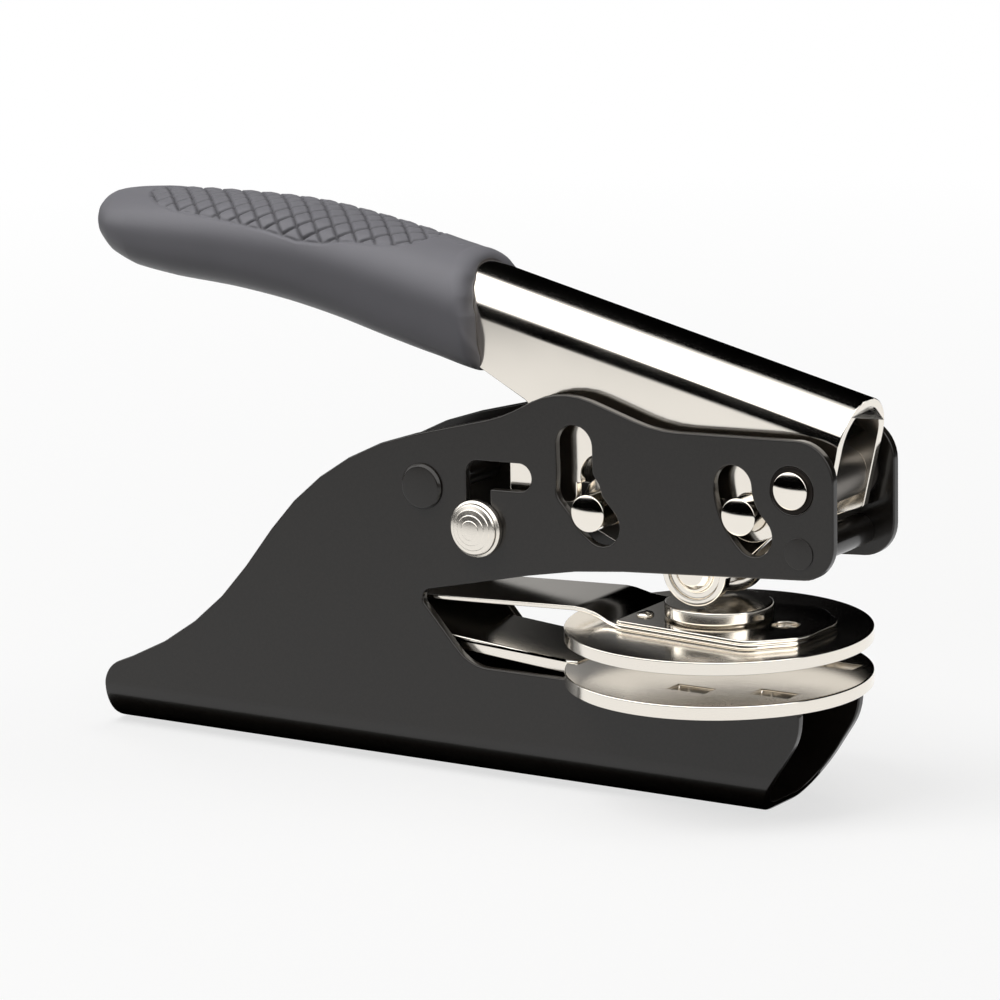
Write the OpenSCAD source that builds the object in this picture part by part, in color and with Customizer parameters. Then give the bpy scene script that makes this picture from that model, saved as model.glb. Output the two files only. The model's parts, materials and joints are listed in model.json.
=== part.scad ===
// Desk seal embosser: folded steel frame, channel handle with a rubber grip,
// a slotted press lever with rollers, and a sprung pair of round die plates.
// Origin: on the resting surface, under the centre of the die plates.
// +X points to the open front, the side plates stand at +Y and -Y.

/* [Frame] */
// Width over the two side plates
frame_w = 22; // [21:0.5:25]
// Thickness of the frame's folded sheet
frame_t = 1.6; // [1.2:0.1:1.8]
// Outside radius of the fold along the bottom
fold_r = 8; // [6:0.5:9]
// Rear end of the frame, behind the die centre
rear_x = 117; // [112:1:125]
// Front edge of the head, ahead of the die centre
head_x = 27.6; // [27:0.2:30]
// Height of the head at its front corner
head_z = 64.4; // [63:0.5:67]
// Height of the upper jaw's lower edge at the front
jaw_top_z = 41.6; // [40.6:0.2:42]
// Front edge of the lower jaw
jaw_x = 21.2; // [18:0.5:24]
// Rear end of the throat between the jaws, behind the die centre
throat_x = 52.2; // [48:0.5:54]

/* [Handle] */
// Space between each leg of the handle's channel and the side plate
leg_gap = 1.9; // [1.6:0.1:2.2]
// Thickness of the handle's sheet
channel_t = 1.6; // [1.2:0.1:1.8]
// Slope of the handle's straight front part, in degrees
handle_tilt = 12.9; // [12:0.1:14]
// Height of the channel's ridge over the main pivot, square to the slope
ridge_rise = 15.3; // [14.5:0.1:16]
// Front end of the channel, ahead of the die centre
handle_front_x = 28.2; // [27.4:0.2:29]
// Place where the channel levels out inside the grip, behind the die centre
bend_x = 58; // [54:1:62]
// Rear end of the channel inside the grip, behind the die centre
tang_x = 112; // [104:1:115]

/* [Grip] */
// Rear end of the grip, behind the die centre
grip_rear_x = 122.2; // [119:0.2:128]
// Front end of the grip, behind the die centre
grip_front_x = 40.6; // [39:0.2:42]
// Width of the grip at its middle
grip_w = 23; // [21:0.5:25]

/* [Pins and slots] */
// Diameter of the three cross pins
pin_d = 6.2; // [5.4:0.1:6.6]
// Radial running clearance of a pin in its hole
pin_fit = 0.05; // [0.02:0.01:0.09]
// Clearance on each side of a pin in a frame slot
slot_gap = 0.35; // [0.3:0.05:0.5]
// How far a pin's domed head stands out of the side plate
head_proud = 1.2; // [0.8:0.1:2]
// Outside radius of the pivot's bushes in the side plates
bush_r = 3.9; // [3.6:0.1:4.4]
// Outside radius of the sleeve on the pivot between the handle's legs
sleeve_r = 4.5; // [4:0.1:4.8]

/* [Press lever] */
// Thickness of each lever plate
lever_t = 1.6; // [1.2:0.1:1.8]
// Space between each lever plate and the handle's leg beside it
lever_play = 1.3; // [1.1:0.1:1.6]
// Radius of the rollers
roller_r = 6; // [5.6:0.1:6.2]
// Width of each roller
roller_w = 2; // [1.6:0.1:2.2]
// Diameter of the roller axle
axle_d = 4; // [3:0.1:4.6]

/* [Latch] */
// Diameter of the latch pin
latch_d = 4; // [3:0.1:4.2]
// Diameter of the latch knob at the side plate
knob_d = 9.6; // [8.6:0.2:11]
// How far the knob stands out of the side plate
knob_h = 2.8; // [2.2:0.1:4]

/* [Die clip] */
// Diameter of the two die plates
die_d = 51; // [48:0.5:54]
// Thickness of the upper die plate
upper_t = 2.2; // [1.6:0.1:2.6]
// Thickness of the lower die plate and its arm
lower_t = 2.35; // [1.8:0.05:2.8]
// Height of the lower die plate's top face
lower_z = 21.75; // [21:0.25:23]
// Open gap between the die plates
die_gap = 5.1; // [4.6:0.1:5.4]
// Width of the two spring arms
arm_w = 17; // [14:0.5:17.5]
// Thickness of the upper spring strip
strip_t = 0.8; // [0.6:0.1:1]
// Thickness of the second leaf on the upper die plate
leaf_t = 0.7; // [0.5:0.1:0.9]
// Diameter of the press button
button_d = 18; // [14:0.5:19]
// Thickness of the press button's disc
button_t = 2.2; // [1.8:0.1:2.4]

/* [Hidden] */
$fn = 64;

// Colours of the finishes
paint = "#3a3632";
nickel = "#d8d4cc";
dark_steel = "#55524e";
rubber = "#4a4b4e";

// Joint centres in the X-Z plane, at rest
pivot = [20, 55.9];
drive = [10.4, 50.6];
fulcrum = [-18, 48.1];
axle = [-0.7, 39.5];
latch = [-39.5, 43.3];
latch_turn = [-39.5, 52.3];
latch_locked = [-31.5, 52.6];
rear_rivet = [-50.4, 49.2];
front_rivet = [21.3, 45.6];
clip_x = -84;

// Half widths and radii that several pieces share
half_w = frame_w / 2;
inner_w = half_w - frame_t;
leg_w = inner_w - leg_gap;
channel_w = 2 * leg_w;
leg_in = leg_w - channel_t;
pin_r = pin_d / 2;
slot_r = pin_r + slot_gap;
lever_out = leg_in - lever_play;
lever_in = lever_out - lever_t;
axle_r = axle_d / 2;
latch_r = latch_d / 2;
latch_slot_r = latch_r + slot_gap;
// Flat faces that slide past each other stay this far apart
side_gap = 0.1;

// ---- Helpers -------------------------------------------------------------

function unit(v) = v / norm(v);

// Arc points that round corner p, between neighbours a and b, to radius r
function fillet(a, p, b, r) =
    let (
        u = unit(a - p),
        v = unit(b - p),
        half = acos(u * v) / 2,
        turn = (180 - 2 * half) * sign(cross(p - a, b - p)),
        centre = p + unit(u + v) * r / sin(half),
        start = p + u * r / tan(half) - centre,
        a0 = atan2(start.y, start.x),
        n = max(2, ceil(abs(turn) / 9))
    )
    [for (i = [0:n]) centre + r * [cos(a0 + turn * i / n), sin(a0 + turn * i / n)]];

// Closed outline from corners [x, z, radius]
function rounded(c) =
    let (n = len(c))
    [for (i = [0:n - 1])
        let (
            a = c[(i + n - 1) % n],
            p = c[i],
            b = c[(i + 1) % n]
        )
        each p.z > 0 ? fillet([a.x, a.y], [p.x, p.y], [b.x, b.y], p.z) : [[p.x, p.y]]];

// Puts an X-Z outline upright and gives it a width across the part
module across(w, y = 0) {
    translate([0, y, 0]) rotate([90, 0, 0]) linear_extrude(w, center = true) children();
}

// Round bar across the part between two Y values
module bar(p, r, y0, y1) {
    translate([p.x, y1, p.y]) rotate([90, 0, 0]) cylinder(h = y1 - y0, r = r);
}

// Flat ring across the part
module ring(p, r, bore, y0, y1) {
    difference() {
        bar(p, r, y0, y1);
        bar(p, bore, y0 - 1, y1 + 1);
    }
}

// Straight sides stay this far inside the rounds they run into
tuck = 0.004;

// Straight slot outline between two centres
module slot_2d(a, b, r) {
    translate(a) circle(r);
    translate(b) circle(r);
    d = b - a;
    h = r - tuck;
    translate(a) rotate(atan2(d.y, d.x)) translate([0, -h]) square([norm(d), 2 * h]);
}

// Cross pin with a shallow domed head at both ends
module domed_pin(p, r, y_end, proud) {
    dome_r = (r * r + proud * proud) / (2 * proud);
    dome_a = asin(r / dome_r);
    bar(p, r, -y_end, y_end);
    for (s = [-1, 1])
        translate([p.x, s * y_end, p.y]) rotate([-90 * s, 0, 0])
            rotate_extrude()
                polygon(concat([[0, 0]], [for (i = [0:8])
                    [dome_r * sin(dome_a * (1 - i / 8)),
                     dome_r * cos(dome_a * (1 - i / 8)) - dome_r + proud]]));
}

// Outline that wraps two circles with straight tangents
module link_2d(a, ra, b, rb) {
    d = b - a;
    k = (ra - rb) / norm(d);
    e = unit(d);
    side = sqrt(1 - k * k) * [e.y, -e.x];
    m0 = e * k + side;
    m1 = e * k - side;
    translate(a) circle(ra);
    translate(b) circle(rb);
    ta = ra - tuck;
    tb = rb - tuck;
    polygon([a + m0 * ta, b + m0 * tb, b + m1 * tb, a + m1 * ta]);
}

// ---- Frame ---------------------------------------------------------------

// Side view of the frame, from the rear along the bottom and back over the head
function frame_outline() = rounded([
    [-rear_x, 0, 0],
    [jaw_x - 9.6, 0, 0],
    [jaw_x - 0.3, 14.4, 10],
    [jaw_x, jaw_z, 1.2],
    [-throat_x + 10.5, jaw_z, 8],
    [-throat_x, 31.06, 1.6],
    [-21.1, 38.2, 120],
    [head_x, jaw_top_z, 6],
    [head_x, head_z, 6.5],
    [-5.4, head_z - 1.3, 25],
    [-23.5, head_z + 4.15, 15],
    [-35, head_z - 2, 25],
    [-69.8, head_z - 11.2, 54],
    [-rear_x + 20.8, 18.9, 60],
    [-rear_x + 0.4, 10.3, 5]]);

// The lower die plate rests on the lower jaw
jaw_z = lower_z - lower_t;

// Cross section of the folded sheet, or of the space inside it
module fold_2d(w, r, z0) {
    translate([-w / 2, z0 + r]) square([w, 100]);
    translate([-w / 2 + r, z0]) square([w - 2 * r, r + 1]);
    for (s = [-1, 1]) translate([s * (w / 2 - r), z0 + r]) circle(r);
}

// Slot in which the drive pin swings about the main pivot
drive_r = norm(drive - pivot);
drive_a = atan2(drive.y - pivot.y, drive.x - pivot.x) + 360;
slot_a0 = drive_a - 26.5;
slot_a1 = drive_a + 20;
module drive_slot_2d() {
    translate(pivot) difference() {
        intersection() {
            circle(drive_r + slot_r);
            polygon([[0, 0], 40 * [cos(slot_a0), sin(slot_a0)],
                     40 * [cos((slot_a0 + slot_a1) / 2), sin((slot_a0 + slot_a1) / 2)],
                     40 * [cos(slot_a1), sin(slot_a1)]]);
        }
        circle(drive_r - slot_r);
    }
    for (a = [slot_a0, slot_a1]) translate(pivot + drive_r * [cos(a), sin(a)]) circle(slot_r);
}

// Cranked slot that guides the fulcrum pin
crank = [[-2.9, 10.9], [-2.8, 5.6], [-1.2, 3.2], [-0.85, 1.55], [0, 0], [0.95, -1], [2.2, -1.9]];
module fulcrum_slot_2d() {
    for (i = [0:len(crank) - 2]) slot_2d(fulcrum + crank[i], fulcrum + crank[i + 1], slot_r);
    slot_2d(fulcrum + crank[1], fulcrum + [-2.9, 3.6], slot_r);
    slot_2d(fulcrum + [-2.9, 3.6], fulcrum + crank[6], slot_r);
}

// L-shaped slot of the storage latch
module latch_slot_2d() {
    slot_2d(latch, latch_turn, latch_slot_r);
    slot_2d(latch_turn, latch_locked, latch_slot_r);
}

module frame() {
    color(paint) difference() {
        intersection() {
            translate([-rear_x - 5, 0, 0]) rotate([90, 0, 90])
                linear_extrude(rear_x + head_x + 10) difference() {
                    fold_2d(frame_w, fold_r, 0);
                    fold_2d(frame_w - 2 * frame_t, fold_r - frame_t, frame_t);
                }
            across(frame_w + 2) polygon(frame_outline());
        }
        across(frame_w + 2) {
            drive_slot_2d();
            fulcrum_slot_2d();
            latch_slot_2d();
            translate(pivot) circle(bush_r);
            translate(rear_rivet) circle(spacer_neck_r);
            translate(front_rivet) circle(spacer_neck_r);
        }
    }
}

// Spacers between the plates: a thick middle, thin necks and riveted heads
spacer_r = 2.6;
spacer_neck_r = 2.2;
rear_head_r = 3.9;
rear_head_h = 0.8;

module spacer_body(p) {
    bar(p, spacer_r, -inner_w, inner_w);
    bar(p, spacer_neck_r, -half_w, half_w);
}

module rear_spacer() {
    color(paint) {
        spacer_body(rear_rivet);
        for (s = [-1, 1])
            translate([rear_rivet.x, s * half_w, rear_rivet.y]) rotate([-90 * s, 0, 0])
                rotate_extrude() polygon([[0, 0], [rear_head_r, 0], [rear_head_r, 0.3],
                    [rear_head_r - 0.4, rear_head_h], [0, rear_head_h]]);
    }
}

module front_spacer() {
    color(paint) {
        spacer_body(front_rivet);
        for (s = [-1, 1])
            bar(front_rivet, spacer_r, s > 0 ? half_w : -half_w - 0.2, s > 0 ? half_w + 0.2 : -half_w);
    }
}

// ---- Main pivot ----------------------------------------------------------

module pivot_pin() {
    color(nickel) domed_pin(pivot, pin_r, half_w, head_proud);
}

module pivot_bushes() {
    color(dark_steel) for (s = [-1, 1])
        ring(pivot, bush_r, pin_r, min(s * half_w, s * inner_w), max(s * half_w, s * inner_w));
}

module pivot_washers() {
    color(dark_steel) for (s = [-1, 1])
        ring(pivot, bush_r + 1.2, pin_r,
             s > 0 ? leg_w + side_gap : -inner_w, s > 0 ? inner_w : -leg_w - side_gap);
}

module pivot_sleeve() {
    color(dark_steel) ring(pivot, sleeve_r, pin_r + pin_fit, -leg_in, leg_in);
}

// ---- Handle --------------------------------------------------------------

pivot_lobe_r = 6.7;
drive_lobe_r = 5;
// The ridge line in side view: a point above the pivot and its fall to the front
ridge_z = pivot.y + ridge_rise / cos(handle_tilt);
bend_z = ridge_z + (pivot.x + bend_x) * tan(handle_tilt);
tang_tilt = 1.5;

// Inverted U, full round on top, as a solid bar along X with its ridge at z = 0
module ridge_bar(r, l0, l1) {
    rotate([90, 0, 90]) translate([0, 0, l0]) linear_extrude(l1 - l0) {
        translate([0, -leg_w]) circle(r);
        translate([-r, -60]) square([2 * r, 60 - leg_w]);
    }
}

// One straight stretch of the channel, solid or hollow, cut at the bend's mitre;
// lap takes it a little past the mitre
module stretch(tilt, r, bore, l0, l1, lap) {
    mitre = (handle_tilt + tang_tilt) / 2;
    translate([-bend_x, 0, bend_z]) intersection() {
        rotate([0, tilt, 0]) difference() {
            ridge_bar(r, l0, l1);
            if (bore > 0) ridge_bar(bore, l0 - 1, l1 + 1);
        }
        rotate([0, mitre, 0]) translate([l1 > 60 ? -lap : lap - 200, -50, -100]) cube([200, 100, 200]);
    }
}

// The bent channel: a sloping front and a nearly level tang, mitred at the bend
module channel(r, bore, lap = 0) {
    stretch(handle_tilt, r, bore, -30, 110, lap);
    stretch(tang_tilt, r, bore, -90, 30, lap);
}

// Place of the locked latch pin in the resting handle, 7 degrees back
lock_press = 7;
lock_rel = latch_locked - pivot;
lock_in_handle = pivot + [lock_rel.x * cos(lock_press) + lock_rel.y * sin(lock_press),
                          lock_rel.y * cos(lock_press) - lock_rel.x * sin(lock_press)];

// Line under both lobes, tangent to them; its height over a place along X
lobe_dir = unit(drive - pivot);
lobe_k = (pivot_lobe_r - drive_lobe_r) / norm(drive - pivot);
lobe_n = lobe_dir * lobe_k + sqrt(1 - lobe_k * lobe_k) * [-lobe_dir.y, lobe_dir.x];
function lobe_line(x) = (lobe_n * pivot + pivot_lobe_r - lobe_n.x * x) / lobe_n.y;

// Side view of the handle's legs; drop widens the tang for the grip's cavity
module handle_2d(drop = 0) {
    lobe_x = pivot.x + pivot_lobe_r;
    drive_x = drive.x - drive_lobe_r;
    difference() {
        polygon(rounded([
            [handle_front_x, 110, 0],
            [handle_front_x, pivot.y + 5.6, 2],
            [lobe_x, pivot.y + 2, 0],
            [lobe_x, lobe_line(lobe_x), pivot_lobe_r - 0.01],
            [drive_x, lobe_line(drive_x), drive_lobe_r - 0.01],
            [drive_x, 52.2, 0],
            [fulcrum.x - 4.4, 52, 0],
            [fulcrum.x - 4.4, 48.6, 1.5],
            [latch_locked.x - 3.9, 48.8, 1.2],
            [latch_locked.x - 3.9, 56.4, 1.2],
            [latch_locked.x + 1.5, 57, 0],
            [latch_locked.x + 2.6, 61.4, 0],
            [latch_locked.x - 0.6, 64.9, 3],
            [-grip_front_x - 0.4, 69.6 - drop, 0],
            [-bend_x - 2, 76.4 - drop, 20],
            [-tang_x - drop, 84 - drop, 0],
            [-tang_x - drop, 110, 0]]));
        // Notch over the fulcrum pin
        slot_2d(fulcrum + [0.2, 5.2], fulcrum + [0.8, -10], pin_r + 0.8);
        // Hook that the latch pin enters
        slot_2d(lock_in_handle, lock_in_handle + [-12, 1.47], latch_slot_r);
        translate(pivot) circle(pin_r + pin_fit);
        translate(drive) circle(pin_r + pin_fit);
    }
}

module handle() {
    color(nickel) intersection() {
        channel(leg_w, leg_in);
        across(channel_w + 2) handle_2d();
    }
}

// ---- Grip ----------------------------------------------------------------

// Stations along the grip: distance from its rear end, top, bottom, half width
// as a share of the middle's, and squareness of the section
grip_l = grip_rear_x - grip_front_x;
grip_rows = [
    [0, 89.9, 88, 0.16, 2],
    [0.6, 91, 87, 0.33, 2],
    [3.4, 92.4, 84.8, 0.64, 2.1],
    [7, 92.9, 82.9, 0.83, 2.2],
    [12, 93.2, 81.2, 0.94, 2.3],
    [20, 93.5, 80.1, 0.99, 2.4],
    [32, 93.8, 79.1, 1, 2.5],
    [43, 93.5, 77.8, 1, 2.6],
    [53, 92.6, 76, 0.99, 2.8],
    [63, 91.1, 73.7, 0.98, 3],
    [73, 89.2, 71.3, 0.97, 3.3],
    [81.6, 87.4, 68.6, 0.96, 3.6]];
grip_sides = 36;

function lerp(a, b, t) = a + (b - a) * t;
// Smooth value between rows i and i + 1 (Catmull-Rom)
function row_at(i, t) =
    let (
        n = len(grip_rows) - 1,
        p0 = grip_rows[max(i - 1, 0)],
        p1 = grip_rows[i],
        p2 = grip_rows[min(i + 1, n)],
        p3 = grip_rows[min(i + 2, n)]
    )
    0.5 * (2 * p1 + (p2 - p0) * t + (2 * p0 - 5 * p1 + 4 * p2 - p3) * t * t
        + (3 * p1 - p0 - 3 * p2 + p3) * t * t * t);
function spow(v, e) = sign(v) * pow(abs(v), e);
function grip_ring(s) = [for (k = [0:grip_sides - 1])
    let (a = 360 * k / grip_sides)
    [-grip_rear_x + s[0] * grip_l / 81.6,
     grip_w / 2 * s[3] * spow(cos(a), 2 / s[4]),
     (s[1] + s[2]) / 2 + (s[1] - s[2]) / 2 * spow(sin(a), 2 / s[4])]];
grip_rings = concat([for (i = [0:len(grip_rows) - 2]) each [grip_ring(row_at(i, 0)),
    grip_ring(row_at(i, 1 / 3)), grip_ring(row_at(i, 2 / 3))]],
    [grip_ring(grip_rows[len(grip_rows) - 1])]);

function middle(ring) = let (one = [for (p = ring) 1]) one * ring / len(ring);

// Closed skin through rings of equal length
module loft(rings) {
    n = len(rings[0]);
    m = len(rings);
    polyhedron(points = concat([for (r = rings) each r], [middle(rings[0]), middle(rings[m - 1])]),
        faces = concat(
            [for (k = [0:n - 1]) [k, (k + 1) % n, m * n]],
            [for (i = [0:m - 2], k = [0:n - 1]) each [
                [i * n + k, (i + 1) * n + k, (i + 1) * n + (k + 1) % n],
                [i * n + k, (i + 1) * n + (k + 1) % n, i * n + (k + 1) % n]]],
            [for (k = [0:n - 1]) [(m - 1) * n + (k + 1) % n, (m - 1) * n + k, m * n + 1]]));
}

module grip() {
    color(rubber) difference() {
        loft(grip_rings);
        intersection() {
            channel(leg_w + 0.05, 0, 0.5);
            across(channel_w + 2) handle_2d(0.05);
            translate([-200, -50, 0]) cube([200 - grip_front_x + 5, 100, 200]);
        }
    }
}

// ---- Press lever ---------------------------------------------------------

fulcrum_lobe_r = 5;
axle_lobe_r = 4.2;

module lever_2d() {
    difference() {
        union() {
            link_2d(fulcrum, fulcrum_lobe_r, drive, drive_lobe_r - 0.2);
            link_2d(fulcrum, fulcrum_lobe_r, axle, axle_lobe_r);
            link_2d(axle, axle_lobe_r, drive, drive_lobe_r - 0.2);
            polygon([fulcrum, axle, drive]);
        }
        translate(fulcrum) circle(pin_r);
        translate(drive) circle(pin_r);
        translate(axle) circle(axle_r);
    }
}

module lever_plate_near() {
    color(nickel) across(lever_t, -(lever_in + lever_t / 2)) lever_2d();
}

module lever_plate_far() {
    color(nickel) across(lever_t, lever_in + lever_t / 2) lever_2d();
}

module lever_spacers() {
    color(dark_steel) {
        ring(fulcrum, pin_r + 1.2, pin_r, -lever_in, lever_in);
        ring(drive, pin_r + 1.2, pin_r, -lever_in, lever_in);
        ring(axle, axle_r + 1.4, axle_r, -lever_in, lever_in);
    }
}

// Washers that centre the lever between the handle's legs
module lever_washers() {
    color(dark_steel) for (s = [-1, 1])
        ring(drive, drive_lobe_r - 0.4, pin_r,
             s > 0 ? lever_out : -leg_in + side_gap, s > 0 ? leg_in - side_gap : -lever_out);
}

module drive_pin() {
    color(nickel) domed_pin(drive, pin_r, half_w, head_proud);
}

module fulcrum_pin() {
    color(nickel) domed_pin(fulcrum, pin_r, half_w, head_proud);
}

// ---- Rollers -------------------------------------------------------------

roller_in = lever_out + 0.3;
roller_out = roller_in + roller_w;
axle_head_r = 3.1;

module roller_axle() {
    color(nickel) {
        bar(axle, axle_r, -roller_out - side_gap, roller_out + side_gap);
        for (s = [-1, 1])
            translate([axle.x, s * (roller_out + side_gap), axle.y]) rotate([-90 * s, 0, 0])
                rotate_extrude() polygon([[0, 0], [axle_head_r, 0], [axle_head_r, 0.4],
                    [axle_head_r - 0.7, 1], [0, 1.2]]);
    }
}

module rollers() {
    color(nickel) for (s = [-1, 1])
        translate([axle.x, s * roller_in, axle.y]) rotate([-90 * s, 0, 0])
            rotate_extrude() polygon([
                [axle_r + pin_fit, 0], [roller_r - 0.3, 0], [roller_r, 0.3],
                [roller_r, roller_w - 0.4], [roller_r - 0.4, roller_w],
                [roller_r - 1.2, roller_w], [roller_r - 1.2, roller_w - 0.5],
                [axle_head_r + 0.5, roller_w - 0.5], [axle_head_r + 0.5, roller_w],
                [axle_r + pin_fit, roller_w]]);
}

// ---- Storage latch -------------------------------------------------------

latch_face = half_w + side_gap;

module latch_pin() {
    color(nickel) {
        bar(latch, latch_r, -latch_face - 0.6, latch_face);
        translate([latch.x, latch_face, latch.y]) rotate([-90, 0, 0])
            rotate_extrude() polygon([[0, 0], [latch_r + 1.8, 0], [latch_r + 1.8, 0.7],
                [latch_r + 1.2, 1.3], [0, 1.6]]);
    }
}

module latch_knob() {
    knob_r = knob_d / 2;
    color(nickel) translate([latch.x, -latch_face, latch.y]) rotate([90, 0, 0])
        rotate_extrude() polygon([[latch_r, 0], [knob_r, 0], [knob_r, 0.9],
            [knob_r - 0.6, 1.6], [knob_r - 0.6, knob_h - 0.9], [knob_r - 1.2, knob_h - 0.5],
            [knob_r * 0.55, knob_h - 0.3], [knob_r * 0.5, knob_h - 0.15],
            [knob_r * 0.2, knob_h], [0, knob_h], [0, 0.6], [latch_r, 0.6]]);
}

module latch_collars() {
    color(dark_steel) for (s = [-1, 1])
        ring(latch, latch_r + 1.6, latch_r,
             s > 0 ? inner_w - side_gap - 0.9 : -inner_w + side_gap,
             s > 0 ? inner_w - side_gap : -inner_w + side_gap + 0.9);
}

// ---- Die clip ------------------------------------------------------------

upper_z = lower_z + die_gap;
plate_top = upper_z + upper_t;
strip_top = plate_top + strip_t;
leaf_top = strip_top + leaf_t;
die_r = die_d / 2;
arm_end = -90;
lower_bend_x = -22;
lower_slope = 0.082;
upper_slope = 0.045;
strip_front_z = 31.4;

function lower_top(x) = lower_z + lower_slope * (lower_bend_x - x);
function strip_line(x) = strip_front_z + upper_slope * (x + 23);

// Lower die plate and its arm, stamped from one sheet
module lower_plate() {
    color(nickel) difference() {
        union() {
            translate([0, 0, lower_z - lower_t]) cylinder(h = lower_t, r = die_r, $fn = 128);
            across(arm_w) polygon([
                [lower_bend_x, lower_z], [0, lower_z], [0, lower_z - lower_t],
                [lower_bend_x, lower_z - lower_t], [arm_end, lower_top(arm_end) - lower_t],
                [arm_end, lower_top(arm_end)]]);
        }
        for (s = [-1, 1]) {
            translate([3 - 3.3, s * 14.2 - 1.7, 0]) cube([6.6, 3.4, 40]);
            translate([16.4 - 3.3, s * 10.6 - 1.7, 0]) cube([6.6, 3.4, 40]);
        }
        translate([clip_x, 0, 0]) cylinder(h = 40, r = rivet_r);
    }
}

module upper_plate() {
    color(nickel) translate([0, 0, upper_z]) cylinder(h = upper_t, r = die_r, $fn = 128);
}

// Plan of the leaf where it widens over the die plate
function leaf_plan(x0) = rounded([
    [x0, -arm_w / 2, 0], [-18, -arm_w / 2, 6], [-13, -10.7, 6], [12.5, -13.2, 4.5],
    [19.3, -6, 6], [19.3, 6, 6], [12.5, 13.2, 4.5], [-13, 10.7, 6], [-18, arm_w / 2, 6],
    [x0, arm_w / 2, 0]]);

// The strip steps down to the plate behind the leaf's rear edge
leaf_rear = -13.4;
step_x = leaf_rear - 0.2;

// Side view of the strip: down from the rear rivet, a step, then flat on the plate
function strip_side(z, t) = concat(
    [[40, z], [step_x, z]],
    [for (i = [1:5]) [step_x - 1.8 * i, lerp(z, strip_line(step_x - 9), (1 - cos(36 * i)) / 2)]],
    [[step_x - 11, strip_line(step_x - 11)], [arm_end + 2, strip_line(arm_end + 2)],
     [arm_end + 2, strip_line(arm_end + 2) - t], [step_x - 11, strip_line(step_x - 11) - t]],
    [for (i = [5:-1:1])
        [step_x - 1.8 * i, lerp(z, strip_line(step_x - 9), (1 - cos(36 * i)) / 2) - t]],
    [[step_x, z - t], [40, z - t]]);

module upper_strip() {
    color(nickel) difference() {
        intersection() {
            across(60) polygon(strip_side(strip_top, strip_t));
            linear_extrude(60) polygon(leaf_plan(-100));
        }
        translate([12.5, 0, 0]) cylinder(h = 60, r = 2.3);
        translate([clip_x, 0, 0]) cylinder(h = 60, r = rivet_r + 0.3);
    }
}

module upper_leaf() {
    color(nickel) difference() {
        translate([0, 0, strip_top]) linear_extrude(leaf_t) intersection() {
            polygon(leaf_plan(-100));
            translate([leaf_rear, -30]) square([60, 60]);
        }
        translate([12.5, 0, 0]) cylinder(h = 60, r = 2.3);
    }
}

module press_button() {
    button_r = button_d / 2;
    color(nickel) translate([0, 0, leaf_top]) rotate_extrude($fn = 96) polygon([
        [0, 0], [button_r - 1.2, 0], [button_r - 1.2, 0.35], [button_r, 0.35],
        [button_r, 0.35 + button_t - 0.4], [button_r - 0.4, 0.35 + button_t],
        [0, 0.35 + button_t]]);
}

module leaf_rivet() {
    color(nickel) translate([-11, -5.2, leaf_top]) rotate_extrude() polygon([
        [0, 0], [1.6, 0], [1.2, 0.5], [0.5, 0.7], [0, 0.7]]);
}

// Rear joint of the clip: a spacer between the arms and one shouldered rivet
rivet_r = 2;
strip_gap = 0.25;
spacer_top = strip_t + strip_gap;

module clip_spacer() {
    color(dark_steel) difference() {
        intersection() {
            translate([clip_x, 0, 0]) cylinder(h = 60, r = rivet_r + 1.2);
            across(20) polygon([
                [-95, lower_top(-95)], [-70, lower_top(-70)],
                [-70, strip_line(-70) - spacer_top], [-95, strip_line(-95) - spacer_top]]);
        }
        translate([clip_x, 0, 0]) cylinder(h = 60, r = rivet_r);
    }
}

module clip_rivet() {
    top = strip_line(clip_x) + strip_gap + 0.15;
    base = lower_top(clip_x) - lower_t;
    color(dark_steel) translate([clip_x, 0, 0]) {
        translate([0, 0, base]) cylinder(h = top - base, r = rivet_r);
        translate([0, 0, top]) cylinder(h = 0.9, r = rivet_r + 1.5);
    }
}

// Bar under the clip's rear end, flush between the side plates
module clip_seat() {
    seat_r = 3;
    tilt = atan(lower_slope);
    color(paint) bar([clip_x, lower_top(clip_x) - lower_t - 0.1 - seat_r / cos(tilt)], seat_r,
        -inner_w, inner_w);
}

// ---- Nodes ---------------------------------------------------------------

frame();
rear_spacer();
front_spacer();
clip_seat();
pivot_pin();
pivot_bushes();
pivot_washers();
handle();
grip();
pivot_sleeve();
drive_pin();
lever_plate_near();
lever_plate_far();
lever_spacers();
lever_washers();
fulcrum_pin();
roller_axle();
rollers();
latch_pin();
latch_knob();
latch_collars();
lower_plate();
upper_strip();
upper_leaf();
upper_plate();
press_button();
leaf_rivet();
clip_spacer();
clip_rivet();
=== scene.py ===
"""Looks of a desk seal embosser: painted frame, plated press work and moulded rubber grip."""

import json
import math

import bmesh
import bpy
from mathutils import Matrix, Vector

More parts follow.
